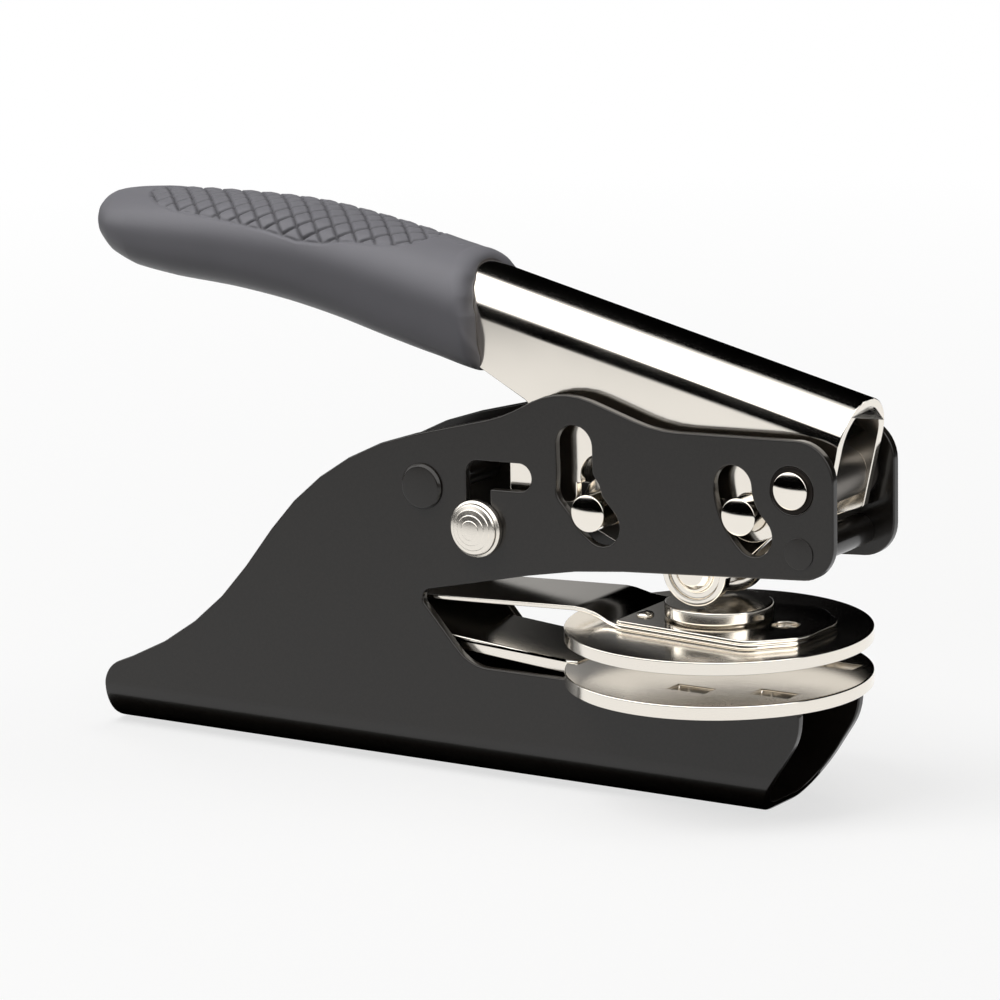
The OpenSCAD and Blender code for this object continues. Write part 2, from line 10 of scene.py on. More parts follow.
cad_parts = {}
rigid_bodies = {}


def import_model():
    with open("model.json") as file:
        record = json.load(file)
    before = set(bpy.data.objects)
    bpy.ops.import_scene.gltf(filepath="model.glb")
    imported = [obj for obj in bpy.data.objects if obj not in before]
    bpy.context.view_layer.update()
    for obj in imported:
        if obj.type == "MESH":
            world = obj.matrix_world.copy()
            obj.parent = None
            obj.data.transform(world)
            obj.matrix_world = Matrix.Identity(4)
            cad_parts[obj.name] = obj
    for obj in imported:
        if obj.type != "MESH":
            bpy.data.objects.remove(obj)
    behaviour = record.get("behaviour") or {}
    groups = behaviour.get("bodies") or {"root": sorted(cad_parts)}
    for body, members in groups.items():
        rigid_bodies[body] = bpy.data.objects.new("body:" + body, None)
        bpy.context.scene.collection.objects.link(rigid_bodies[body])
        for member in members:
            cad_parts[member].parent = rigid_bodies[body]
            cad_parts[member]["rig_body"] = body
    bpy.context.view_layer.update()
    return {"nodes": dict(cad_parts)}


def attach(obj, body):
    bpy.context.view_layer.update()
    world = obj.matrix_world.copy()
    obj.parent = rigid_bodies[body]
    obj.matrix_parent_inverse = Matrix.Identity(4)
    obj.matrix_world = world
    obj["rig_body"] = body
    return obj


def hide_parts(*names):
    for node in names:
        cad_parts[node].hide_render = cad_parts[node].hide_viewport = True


bl_info = {
    "name": "Seal Embosser Looks",
    "version": (1, 0, 0),
    "blender": (4, 5, 0),
    "location": "3D View > Sidebar > Seal Embosser",
    "description": "Finishes, grip and studio for a desk seal embosser",
    "category": "Object",
}

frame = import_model()
NODES = frame["nodes"]
MM = 0.001
WHITE = (1, 1, 1, 1)
MATH = "ShaderNodeMath"
# Colour sockets of a Mix node
MIX_A, MIX_B, MIX_RESULT = 6, 7, 2
# CAD meshes: points this close are one, in mm, and faces this near to flat are one, in degrees
MERGE_DISTANCE = 0.002
FLAT_ANGLE = 0.8
# Edges that turn by more than this are rounded, in degrees
SHARP_ANGLE = 38
# Corners of a turned profile that turn by less than this stay as drawn, in degrees
BLUNT_ANGLE = 20

# Nodes whose own sheet form is kept and gets its edges rounded: node, edge size, finish
SHEETS = (
    ("frame", "paint_edge", "stoved_enamel"), ("clip_seat", "paint_edge", "stoved_enamel"),
    ("lever_plate_near", "sheet_edge", "drawn_nickel_sheet"),
    ("lever_plate_far", "sheet_edge", "drawn_nickel_sheet"),
    ("upper_strip", "sheet_edge", "drawn_nickel_sheet"),
    ("upper_leaf", "sheet_edge", "drawn_nickel_sheet"),
    ("clip_spacer", "pin_edge", "black_oxide"), ("clip_rivet", "pin_edge", "black_oxide"))

# Centres of the cross pins, X and Z in mm
PIVOT = (20.0, 55.9)
DRIVE = (10.4, 50.6)
FULCRUM = (-18.0, 48.1)
AXLE = (-0.7, 39.5)
LATCH = (-39.5, 43.3)
REAR_RIVET = (-50.4, 49.2)
FRONT_RIVET = (21.3, 45.6)
# Half widths in mm: frame outside and inside, handle legs outside and inside, lever plates
HALF_W = 11.0
INNER_W = 9.4
LEG_W = 7.5
LEG_IN = 5.9
LEVER_IN = 3.0
LEVER_OUT = 4.6
# Radius of the domed cross pins
PIN_R = 3.1


# ---- Sizes and colours ----------------------------------------------------


class EdgeSizes(bpy.types.PropertyGroup):
    """Roundness of the edges that catch the light."""

    paint_edge: bpy.props.FloatProperty(
        name="Painted edge", description="Edge rounding under the paint, in millimetres",
        default=0.3, min=0.1, max=0.6)
    sheet_edge: bpy.props.FloatProperty(
        name="Sheet edge", description="Tumbled edge of the plated sheet parts, in millimetres",
        default=0.2, min=0.05, max=0.4)
    disc_edge: bpy.props.FloatProperty(
        name="Die plate edge", description="Broken edge of the round die plates, in millimetres",
        default=0.28, min=0.05, max=0.6)
    pin_edge: bpy.props.FloatProperty(
        name="Pin edge", description="Edge rounding of pins and turned parts, in millimetres",
        default=0.12, min=0.02, max=0.3)


class GripSizes(bpy.types.PropertyGroup):
    """Sizes of the rubber sleeve and of its diamond tread."""

    pitch: bpy.props.FloatProperty(
        name="Diamond length", description="Length of one diamond along the grip, in millimetres",
        default=4.0, min=2.5, max=6.0)
    height: bpy.props.FloatProperty(
        name="Diamond height", description="Height of one diamond around the grip, in millimetres",
        default=4.6, min=2.5, max=7.0)
    groove: bpy.props.FloatProperty(
        name="Groove width", description="Width of the grooves between diamonds, in millimetres",
        default=1.2, min=0.3, max=1.5)
    depth: bpy.props.FloatProperty(
        name="Groove depth", description="Depth of the grooves, in millimetres",
        default=0.6, min=0.1, max=1.0)


class FinishColours(bpy.types.PropertyGroup):
    """Colours of the finishes, as sRGB hex values."""

    paint: bpy.props.StringProperty(
        name="Frame paint", description="Stoving enamel of the frame", default="#221e1a")
    nickel: bpy.props.StringProperty(
        name="Nickel", description="Warm white of bright nickel plate", default="#f0eae0")
    steel: bpy.props.StringProperty(
        name="Steel", description="Dull steel of the sleeve and spacers", default="#7d7974")
    oxide: bpy.props.StringProperty(
        name="Black oxide", description="Blackened steel of the bushes", default="#2a2725")
    rubber: bpy.props.StringProperty(
        name="Rubber", description="Charcoal rubber of the grip", default="#7b7a7f")
    floor: bpy.props.StringProperty(
        name="Floor", description="Pale studio floor", default="#f7f7f6")


class StudioSizes(bpy.types.PropertyGroup):
    """The camera."""

    azimuth: bpy.props.FloatProperty(
        name="Azimuth", description="Turn of the camera round the embosser",
        default=math.radians(32.195), subtype="ANGLE")
    elevation: bpy.props.FloatProperty(
        name="Elevation", description="Height angle of the camera",
        default=math.radians(12.774), subtype="ANGLE")
    roll: bpy.props.FloatProperty(
        name="Roll", description="Tilt of the camera about its line of sight",
        default=math.radians(-0.905), subtype="ANGLE")
    distance: bpy.props.FloatProperty(
        name="Distance", description="Camera to its target",
        default=1.04873, unit="LENGTH")
    lens: bpy.props.FloatProperty(
        name="Focal length", description="Focal length on a 36 mm wide sensor, in millimetres",
        default=225.9, min=20.0, max=400.0)
    target: bpy.props.FloatVectorProperty(
        name="Target", description="Point that the camera looks at",
        default=(-0.04211, 0.0, 0.04552), subtype="TRANSLATION")


# ---- Small helpers --------------------------------------------------------


def settings(context):
    """The embosser's sizes and colours."""
    return context.scene.embosser


def linear(code):
    """Linear colour of an sRGB hex value."""
    parts = [int(code[i:i + 2], 16) / 255 for i in (1, 3, 5)]
    return [c / 12.92 if c <= 0.04045 else ((c + 0.055) / 1.055) ** 2.4 for c in parts] + [1.0]


def shade(colour, factor):
    """A linear colour made darker or lighter."""
    return [c * factor for c in colour[:3]] + [1.0]


def add_node(tree, kind, inputs=None, **options):
    """Adds one node with its settings; an input takes a value, or a socket or node to link."""
    node = tree.nodes.new(kind)
    for key, value in options.items():
        setattr(node, key, value)
    for key, value in (inputs or {}).items():
        source = value.outputs[0] if isinstance(value, bpy.types.Node) else value
        if isinstance(source, bpy.types.NodeSocket):
            tree.links.new(source, node.inputs[key])
        else:
            node.inputs[key].default_value = source
    return node


def new_material(name):
    """A material with an empty tree."""
    material = bpy.data.materials.new(name)
    material.use_nodes = True
    material.node_tree.nodes.clear()
    return material, material.node_tree


def object_mm(tree):
    """Object coordinates in millimetres."""
    place = add_node(tree, "ShaderNodeTexCoord").outputs["Object"]
    return add_node(tree, "ShaderNodeVectorMath", {0: place, 1: (1 / MM, 1 / MM, 1 / MM)},
                    operation="MULTIPLY")


def add_object(name, data):
    """A new object in the scene."""
    thing = bpy.data.objects.new(name, data)
    bpy.context.scene.collection.objects.link(thing)
    return thing


def mesh_piece(name, verts, faces, material):
    """A piece from points in metres and faces."""
    mesh = bpy.data.meshes.new(name)
    mesh.from_pydata(verts, [], faces)
    mesh.materials.append(material)
    return add_object(name, mesh)


def turn_outward(piece):
    """Points the faces of a closed piece outwards."""
    work = bmesh.new()
    work.from_mesh(piece.data)
    bmesh.ops.recalc_face_normals(work, faces=work.faces)
    work.to_mesh(piece.data)
    work.free()


def freeze(piece):
    """Turns what the modifiers make into the piece's own mesh."""
    graph = bpy.context.evaluated_depsgraph_get()
    mesh = bpy.data.meshes.new_from_object(piece.evaluated_get(graph))
    piece.modifiers.clear()
    piece.data = mesh


def settle(piece, edge=0.0):
    """Rounds the sharp edges, shades smooth with flat faces kept flat, and fixes the mesh."""
    if edge:
        bevel = piece.modifiers.new("edge", "BEVEL")
        bevel.width = edge * MM
        bevel.segments = 3
        bevel.limit_method = "ANGLE"
        bevel.angle_limit = math.radians(SHARP_ANGLE)
        bevel.use_clamp_overlap = False
    piece.data.shade_smooth()
    flat = piece.modifiers.new("flat_faces", "WEIGHTED_NORMAL")
    flat.weight = 100
    freeze(piece)
    return piece


def stand_for(piece, node):
    """Puts a finished piece in a CAD node's place, on its body."""
    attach(piece, NODES[node]["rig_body"])
    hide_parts(node)


def cad_copy(node, material):
    """A copy of a CAD node as one merged mesh of whole faces."""
    work = bmesh.new()
    work.from_mesh(NODES[node].data)
    merge = MERGE_DISTANCE * MM
    bmesh.ops.remove_doubles(work, verts=work.verts, dist=merge)
    bmesh.ops.dissolve_degenerate(work, edges=work.edges, dist=merge)
    bmesh.ops.dissolve_limit(work, angle_limit=math.radians(FLAT_ANGLE), verts=work.verts,
                             edges=work.edges)
    mesh = bpy.data.meshes.new(node + "_finish")
    work.to_mesh(mesh)
    work.free()
    mesh.materials.clear()
    mesh.materials.append(material)
    return add_object(node + "_finish", mesh)


def cut(piece, tool, operation="DIFFERENCE"):
    """Cuts or joins a piece with a tool, which is used up."""
    change = piece.modifiers.new("cut", "BOOLEAN")
    change.operation = operation
    change.solver = "EXACT"
    change.object = tool
    freeze(piece)
    bpy.data.objects.remove(tool)


def softened(profile, radius):
    """The profile, from axis to axis, with its corners rounded by up to the given radius."""
    out = [profile[0]]
    for a, p, b in zip(profile, profile[1:], profile[2:]):
        u = Vector(a) - Vector(p)
        v = Vector(b) - Vector(p)
        turn = math.pi - u.angle(v)
        if turn < math.radians(BLUNT_ANGLE):
            out.append(p)
            continue
        reach = min(radius * math.tan(turn / 2), 0.45 * u.length, 0.45 * v.length)
        start = Vector(p) + u.normalized() * reach
        end = Vector(p) + v.normalized() * reach
        for k in range(5):
            t = k / 4
            point = start * (1 - t) ** 2 + Vector(p) * (2 * t * (1 - t)) + end * t * t
            out.append((point.x, point.y))
    out.append(profile[-1])
    return out


def turned(name, profile, place, axis, material, edge, steps):
    """Solid of revolution: profile points are radius and height along the axis, in mm.

    A profile that starts and ends on the axis is closed there; any other one closes on itself.
    """
    solid = profile[0][0] == 0
    line = softened(profile, edge) if solid else softened(profile + [profile[0]], edge)[:-1]
    e = Vector(axis)
    u = e.orthogonal().normalized()
    v = e.cross(u)
    origin = Vector(place)
    verts = []
    rows = []
    for r, h in line:
        if r == 0:
            rows.append([len(verts)] * steps)
            verts.append((origin + e * h) * MM)
        else:
            rows.append([len(verts) + k for k in range(steps)])
            for k in range(steps):
                a = 2 * math.pi * k / steps
                verts.append((origin + e * h + (u * math.cos(a) + v * math.sin(a)) * r) * MM)
    faces = []
    pairs = list(zip(rows, rows[1:])) + ([] if solid else [(rows[-1], rows[0])])
    for low, high in pairs:
        for k in range(steps):
            m = (k + 1) % steps
            face = []
            for n in (low[k], low[m], high[m], high[k]):
                if n not in face:
                    face.append(n)
            if len(face) > 2:
                faces.append(face)
    piece = mesh_piece(name, verts, faces, material)
    turn_outward(piece)
    return settle(piece)


def across(p):
    """Middle of a cross pin."""
    return (p[0], 0.0, p[1])


def tube(r, bore, y0, y1):
    """Profile of a plain ring."""
    return [(r, y0), (r, y1), (bore, y1), (bore, y0)]


def both_ends(half):
    """Profile that is the same at both ends, from the points of its upper half."""
    return [(r, -h) for r, h in half] + [(r, h) for r, h in reversed(half)]


def domed_shaft(r, half, proud):
    """Profile of a cross pin with a shallow dome at both ends."""
    steps = 14
    dome = (r * r + proud * proud) / (2 * proud)
    wide = math.asin(r / dome)
    cap = [(dome * math.sin(wide * k / steps), dome * (math.cos(wide * k / steps) - 1) + proud)
           for k in range(steps + 1)]
    return both_ends([(x, half + h) for x, h in cap])


def turned_parts():
    """Each turned piece: node, profile, place, axis, finish, edge size and steps round."""
    side = (0, 1, 0)
    near = (0, -1, 0)
    up = (0, 0, 1)
    pins = "polished_nickel_pins"
    dark = "black_oxide"
    dull = "turned_steel"
    proud = 0.6
    parts = []
    for node, place in (("pivot_pin", PIVOT), ("drive_pin", DRIVE), ("fulcrum_pin", FULCRUM)):
        parts.append((node, domed_shaft(PIN_R, HALF_W + proud, proud), across(place), side, pins,
                      0.25, 96))
    for end in (side, near):
        parts += [
            ("pivot_bushes", tube(3.9, PIN_R, INNER_W, HALF_W), across(PIVOT), end, dark, 0.15, 96),
            ("pivot_washers", tube(5.1, PIN_R, LEG_W + 0.1, INNER_W), across(PIVOT), end, dark,
             0.1, 64),
            ("lever_washers", tube(4.6, PIN_R, LEVER_OUT, LEG_IN - 0.1), across(DRIVE), end, dull,
             0.1, 64),
            ("rollers", [(2.05, 4.9), (6, 4.9), (6, 6.9), (4.8, 6.9), (4.8, 6.4), (3.6, 6.4),
                         (3.6, 6.9), (2.05, 6.9)], across(AXLE), end, pins, 0.25, 128),
            ("latch_collars", tube(3.6, 2.0, 8.4, 9.3), across(LATCH), end, dark, 0.1, 48)]
    parts += [
        ("pivot_sleeve", tube(4.5, 3.15, -LEG_IN, LEG_IN), across(PIVOT), side, dull, 0.2, 96),
        ("lever_spacers", tube(4.3, PIN_R, -LEVER_IN, LEVER_IN), across(FULCRUM), side, dull,
         0.1, 64),
        ("lever_spacers", tube(4.3, PIN_R, -LEVER_IN, LEVER_IN), across(DRIVE), side, dull,
         0.1, 64),
        ("lever_spacers", tube(3.4, 2.0, -LEVER_IN, LEVER_IN), across(AXLE), side, dull, 0.1, 64),
        ("roller_axle", both_ends([(0, 8.2), (2.4, 8), (3.1, 7.4), (3.1, 7), (2, 7)]),
         across(AXLE), side, pins, 0.15, 80),
        ("rear_spacer", both_ends([(0, 11.8), (3.5, 11.8), (3.9, 11.3), (3.9, 11), (2.2, 11),
                                   (2.2, 9.4), (2.6, 9.4)]),
         across(REAR_RIVET), side, "stoved_enamel", 0.3, 96),
        ("front_spacer", both_ends([(0, 11.2), (2.6, 11.2), (2.6, 11), (2.2, 11), (2.2, 9.4),
                                    (2.6, 9.4)]),
         across(FRONT_RIVET), side, "stoved_enamel", 0.15, 96),
        ("latch_pin", [(0, -11.1), (2, -11.1), (2, 11.1), (3.8, 11.1), (3.8, 11.8), (3.2, 12.4),
                       (0, 12.7)], across(LATCH), side, pins, 0.15, 80),
        ("latch_knob", [(0, 11.7), (2, 11.7), (2, 11.1), (4.8, 11.1), (4.8, 12.1), (4.4, 12.4),
                        (4.3, 12.8), (4.1, 13.0), (3.5, 13.2), (3.4, 13.32), (2.6, 13.5),
                        (2.5, 13.6), (1.7, 13.72), (1.6, 13.8), (0.8, 13.87), (0, 13.9)],
         across(LATCH), near, "satin_turned_nickel", 0.1, 128),
        ("upper_plate", [(0, 0), (25.5, 0), (25.5, 2.2), (0, 2.2)], (0, 0, 26.85), up,
         "turned_nickel_discs", 0.25, 256),
        ("press_button", [(0, 0), (7.8, 0), (7.8, 0.35), (9, 0.35), (9, 2.55), (0, 2.55)],
         (0, 0, 30.55), up, "turned_nickel_discs", 0.35, 160),
        ("leaf_rivet", [(0, 0), (1.6, 0), (1.3, 0.45), (0.6, 0.68), (0, 0.7)], (-11, -5.2, 30.55),
         up, pins, 0.1, 48)]
    return parts


def prism(name, outline, y0, y1, material):
    """Closed block from an X-Z outline between two Y values, in mm."""
    n = len(outline)
    verts = [Vector((x, y, z)) * MM for y in (y0, y1) for x, z in outline]
    faces = [list(range(n)), list(range(2 * n - 1, n - 1, -1))]
    faces += [[k, k + n, (k + 1) % n + n, (k + 1) % n] for k in range(n)]
    piece = mesh_piece(name, verts, faces, material)
    turn_outward(piece)
    return piece


# ---- Finishes -------------------------------------------------------------


def stoved_enamel(colours):
    """Stoved enamel on steel sheet: sprayed, with an orange peel that breaks up the gloss."""
    material, tree = new_material("stoved_enamel")
    place = object_mm(tree)
    # Orange peel of 0.35 mm, the spacing of the spray's flecks
    peel = add_node(tree, "ShaderNodeTexNoise", {"Vector": place, "Scale": 1 / 0.35, "Detail": 3.0})
    # Slow change over 20 mm, where the coat is thicker or thinner
    coat = add_node(tree, "ShaderNodeTexNoise", {"Vector": place, "Scale": 1 / 20, "Detail": 2.0})
    base = linear(colours.paint)
    tone = add_node(tree, "ShaderNodeMix",
                    {"Factor": peel, MIX_A: shade(base, 0.78), MIX_B: shade(base, 1.3)},
                    data_type="RGBA").outputs[MIX_RESULT]
    rough = add_node(tree, "ShaderNodeMapRange", {"Value": coat, "To Min": 0.3, "To Max": 0.38})
    bump = add_node(tree, "ShaderNodeBump", {"Height": peel, "Strength": 0.25, "Distance": 0.00003})
    # Half of the gloss is a smoother clear skin, which draws a thin bright line on edges
    shader = add_node(tree, "ShaderNodeBsdfPrincipled", {
        "Base Color": tone, "Roughness": rough, "Normal": bump, "IOR": 1.5,
        "Specular IOR Level": 0.25, "Coat Weight": 0.5, "Coat Roughness": 0.12})
    add_node(tree, "ShaderNodeOutputMaterial", {"Surface": shader})
    return material


def nickel_plate(colours, name, rough_low, rough_high):
    """Bright nickel on steel: a mirror with a faint haze that changes slowly over the part."""
    material, tree = new_material(name)
    place = object_mm(tree)
    # Haze in 12 mm clouds
    haze = add_node(tree, "ShaderNodeTexNoise", {"Vector": place, "Scale": 1 / 12, "Detail": 2.0})
    rough = add_node(tree, "ShaderNodeMapRange", {
        "Value": haze, "From Min": 0.3, "From Max": 0.7, "To Min": rough_low, "To Max": rough_high})
    base = linear(colours.nickel)
    tone = add_node(tree, "ShaderNodeMix",
                    {"Factor": haze, MIX_A: shade(base, 0.93), MIX_B: base},
                    data_type="RGBA").outputs[MIX_RESULT]
    shader = add_node(tree, "ShaderNodeBsdfPrincipled",
                      {"Base Color": tone, "Roughness": rough, "Metallic": 1.0})
    add_node(tree, "ShaderNodeOutputMaterial", {"Surface": shader})
    return material


def turned_steel(name, colour):
    """Plain or blackened turned steel, lightly oiled: dull, with soft tool marks."""
    material, tree = new_material(name)
    # Marks of 0.2 mm, coarser than the tool's real feed so that they show
    marks = add_node(tree, "ShaderNodeTexNoise",
                     {"Vector": object_mm(tree), "Scale": 1 / 0.2, "Detail": 2.0})
    rough = add_node(tree, "ShaderNodeMapRange", {"Value": marks, "To Min": 0.32, "To Max": 0.48})
    shader = add_node(tree, "ShaderNodeBsdfPrincipled",
                      {"Base Color": linear(colour), "Roughness": rough, "Metallic": 1.0})
    add_node(tree, "ShaderNodeOutputMaterial", {"Surface": shader})
    return material


def moulded_rubber(colours):
    """Moulded rubber from a spark-eroded mould: matt, with an even grain, a pale bloom and painted
    shade in the grooves.
    """
    material, tree = new_material("moulded_rubber")
    place = object_mm(tree)
    # Mould grain of 0.25 mm, coarser than the real grain so that it shows
    grain = add_node(tree, "ShaderNodeTexNoise",
                     {"Vector": place, "Scale": 1 / 0.25, "Detail": 3.0})
    # Bloom in 15 mm clouds
    bloom = add_node(tree, "ShaderNodeTexNoise", {"Vector": place, "Scale": 1 / 15, "Detail": 3.0})
    base = linear(colours.rubber)
    tone = add_node(tree, "ShaderNodeMix",
                    {"Factor": bloom, MIX_A: shade(base, 0.88), MIX_B: shade(base, 1.12)},
                    data_type="RGBA").outputs[MIX_RESULT]
    # Painted shade: the grooves of the tread are darker than the lands
    groove = add_node(tree, "ShaderNodeAttribute", attribute_name="groove").outputs["Fac"]
    tone_with_groove_shade = add_node(tree, "ShaderNodeMix",
                    {"Factor": groove, MIX_A: tone, MIX_B: shade(base, 0.3)},
                    data_type="RGBA").outputs[MIX_RESULT]
    bump = add_node(tree, "ShaderNodeBump", {"Height": grain, "Strength": 0.3, "Distance": 0.00003})
    shader = add_node(tree, "ShaderNodeBsdfPrincipled", {
        "Base Color": tone_with_groove_shade, "Normal": bump, "Roughness": 0.45, "IOR": 1.5,
        "Specular IOR Level": 0.35, "Sheen Weight": 0.05, "Sheen Roughness": 0.5})
    add_node(tree, "ShaderNodeOutputMaterial", {"Surface": shader})
    return material


# ---- Grip -----------------------------------------------------------------

# Stations of the sleeve: X, top, bottom, half width in mm, squareness of the upper and lower half
GRIP_ROWS = (
    (-120.8, 89.5, 87.2, 1.9, 2.0, 2.0), (-120.3, 90.6, 85.9, 3.6, 2.0, 2.0),
    (-118.1, 92.1, 83.3, 6.9, 2.1, 2.1), (-114.9, 92.7, 81.3, 9.3, 2.2, 2.2),
    (-110.2, 93.1, 79.8, 10.8, 2.3, 2.3), (-102.2, 93.4, 78.8, 11.4, 2.4, 2.4),
    (-90.2, 93.6, 78.0, 11.5, 2.4, 2.5), (-79.2, 93.3, 76.6, 11.5, 2.4, 2.6),
    (-69.2, 92.1, 74.7, 11.4, 2.35, 2.8), (-59.2, 90.5, 72.4, 11.3, 2.25, 3.2),
    (-49.2, 88.5, 70.2, 11.15, 2.15, 3.5), (-40.6, 86.9, 68.3, 11.05, 2.15, 3.5))
FRONT_X = -40.6
# Just behind the last station, where the curve through the stations still has a next one
LAST_X = FRONT_X - 0.01
# Where the skin starts to follow the swept rim
RIM_START = -48.6
# Stations of the hollow, from the rim to the end of the channel's tang
HOLLOW_X = (FRONT_X - 6, -50, -54, -58.0, -64, -75, -90, -104, -111.8)
CHANNEL_R = 7.55
# The channel's ridge inside the grip levels out here; its fall per mm ahead of it and behind it
BEND = (-58.0, 89.55)
CHANNEL_FALL = 0.229
TANG_FALL = 0.0262
# Fall of the skin's ridge per mm ahead of FRONT_X
SKIN_FALL = 0.209
# Exponent that makes the lower half of the hollow nearly square
SQUARE = 0.12
# Lower edge of the channel's legs inside the grip
LEG_LINE = ((-112.0, 84.0), (-60.0, 76.4), (-41.0, 69.6))
# Half width of the diamond tread around the ridge, along X
TREAD = ((-110.2, 0.0), (-109.4, 3.4), (-108.0, 5.6), (-105.0, 7.8), (-101.0, 9.2), (-88.0, 10.8),
         (-75.0, 12.0), (-70.0, 11.2), (-66.0, 9.6), (-61.0, 8.4), (-56.5, 6.6), (-54.6, 4.4),
         (-53.4, 0.0))
# Place of the open rim against FRONT_X, by height share: furthest back on the ridge
RIM_SWEEP = ((0.0, -0.2), (0.3, -0.2), (0.68, -1.6), (0.86, -2.4), (1.0, -3.3))
# Length over which the skin curls in to the channel, by height share
RIM_CURL = ((0.0, 0.9), (0.3, 2.0), (0.6, 2.3), (0.9, 2.9), (1.0, 3.2))
# Rings of the rim, and the share of them on the skin behind the curl
RIM_RINGS = 22
RIM_SKIN = 0.4
# Spacing of the skin's rings in mm: at the rear tip, under the tread and elsewhere
TIP_STEP, TREAD_STEP, SKIN_STEP = 0.12, 0.2, 0.5
TIP_END = -120
TREAD_START, TREAD_END = -111, -51
# Distance from the ridge that stands for off the tread, in mm
OFF_TREAD = 999.0
# Height of the pillow on a diamond, as a share of the groove depth
PILLOW = 0.9
# Groove round the tread: half width in mm and share of the groove depth
BORDER_WIDTH = 0.4
BORDER_DEPTH = 0.5
# Directions round a section, closer together over the tread; the first is the ridge.
# Arcs are in half turns: the upper one, where the lower one starts, and the lower one
TOP_STEPS = 168
LOW_STEPS = 84
TOP_ARC, LOW_START, LOW_ARC = 1.24, -0.12, 0.76
TURNS = [math.pi * (0.5 - TOP_ARC * (k / TOP_STEPS - 0.5)) for k in range(TOP_STEPS)]
TURNS += [math.pi * (LOW_START - LOW_ARC * k / LOW_STEPS) for k in range(LOW_STEPS)]
TURNS = TURNS[TOP_STEPS // 2:] + TURNS[:TOP_STEPS // 2]
AROUND = len(TURNS)


def eased(table, x):
    """Like along, but level at every station of the table."""
    for (x0, v0), (x1, v1) in zip(table, table[1:]):
        if x <= x1:
            t = max(0.0, (x - x0) / (x1 - x0))
            return v0 + (v1 - v0) * t * t * (3 - 2 * t)
    return table[-1][1]


def along(table, x):
    """Straight-line value of a table of (x, value) at x."""
    if x <= table[0][0]:
        return table[0][1]
    for (x0, v0), (x1, v1) in zip(table, table[1:]):
        if x <= x1:
            return v0 + (v1 - v0) * (x - x0) / (x1 - x0)
    return table[-1][1]


def grip_row(x):
    """Top, bottom, half width and the two squarenesses at x, on a Catmull-Rom curve."""
    last = len(GRIP_ROWS) - 1
    i = max(k for k in range(last) if GRIP_ROWS[k][0] <= x or k == 0)
    rows = [GRIP_ROWS[min(max(k, 0), last)] for k in (i - 1, i, i + 1, i + 2)]
    t = (x - rows[1][0]) / (rows[2][0] - rows[1][0])
    out = []
    for p0, p1, p2, p3 in zip(*[row[1:] for row in rows]):
        out.append(0.5 * (2 * p1 + (p2 - p0) * t + (2 * p0 - 5 * p1 + 4 * p2 - p3) * t * t
                          + (3 * p1 - p0 - 3 * p2 + p3) * t ** 3))
    return out


def power(value, exponent):
    """A power that keeps the sign."""
    return math.copysign(abs(value) ** exponent, value)


def skin_ring(x):
    """Points of the sleeve's outer section; the first lies on the ridge."""
    top, bottom, half, upper, lower = grip_row(x)
    points = []
    for a in TURNS:
        square = upper if math.sin(a) >= 0 else lower
        y = half * power(math.cos(a), 2 / square)
        z = (top + bottom) / 2 + (top - bottom) / 2 * power(math.sin(a), 2 / square)
        points.append(Vector((x, y, z)))
    return points


def cavity_ring(x):
    """Points of the hollow that fits round the channel."""
    fall = CHANNEL_FALL if x > BEND[0] else TANG_FALL
    centre = BEND[1] - fall * (x - BEND[0]) - CHANNEL_R
    foot = along(LEG_LINE, x)
    points = []
    for a in TURNS:
        if math.sin(a) >= 0:
            points.append(Vector((x, CHANNEL_R * math.cos(a), centre + CHANNEL_R * math.sin(a))))
        else:
            points.append(Vector((x, CHANNEL_R * power(math.cos(a), SQUARE),
                                  centre + (centre - foot) * power(math.sin(a), SQUARE))))
    return points


def front_share(z):
    """Height share of a point of the skin at the rim: 0 at the bottom, 1 on the ridge."""
    top, bottom = GRIP_ROWS[-1][1:3]
    return min(max((z - bottom) / (top - bottom), 0.0), 1.0)


def sleeve_rings():
    """Rings of the outer skin, the curled rim and the hollow, each with whether it has tread."""
    rings = []
    x = GRIP_ROWS[0][0]
    while x < RIM_START:
        rings.append((skin_ring(x), True))
        if x < TIP_END:
            x += TIP_STEP
        else:
            x += TREAD_STEP if TREAD_START < x < TREAD_END else SKIN_STEP
    last = skin_ring(LAST_X)
    inner = cavity_ring(FRONT_X)
    for k in range(RIM_RINGS):
        t = k / (RIM_RINGS - 1)
        ring = []
        for p, q in zip(last, inner):
            share = front_share(p.z)
            curl = eased(RIM_CURL, share)
            front = FRONT_X + eased(RIM_SWEEP, share)
            if t < RIM_SKIN:
                # Skin from the last full ring to where the curl starts
                place = RIM_START + (front - curl - RIM_START) * (t / RIM_SKIN)
                ring.append(Vector((place, *skin_at(place, p))))
            else:
                a = math.pi / 2 * (t - RIM_SKIN) / (1 - RIM_SKIN)
                y, z = skin_at(front - curl, p)
                w = 1 - math.cos(a)
                # The channel falls to the front under the rim
                level = q.z - CHANNEL_FALL * (front - FRONT_X)
                ring.append(Vector((front - curl + curl * math.sin(a),
                                    y + (q.y - y) * w, z + (level - z) * w)))
        rings.append((ring, False))
    for x in HOLLOW_X:
        rings.append((cavity_ring(x), False))
    return rings


def skin_at(x, point):
    """Y and Z on the skin at x, on the same direction as a point of the rim's section."""
    top, bottom, half = grip_row(min(x, LAST_X))[:3]
    top0, bottom0, half0 = grip_row(LAST_X)[:3]
    y = point.y * half / half0
    share = (point.z - (top0 + bottom0) / 2) / ((top0 - bottom0) / 2)
    z = (top + bottom) / 2 + share * (top - bottom) / 2
    if x > FRONT_X:
        z -= SKIN_FALL * (x - FRONT_X) * max(share, 0)
    return y, z


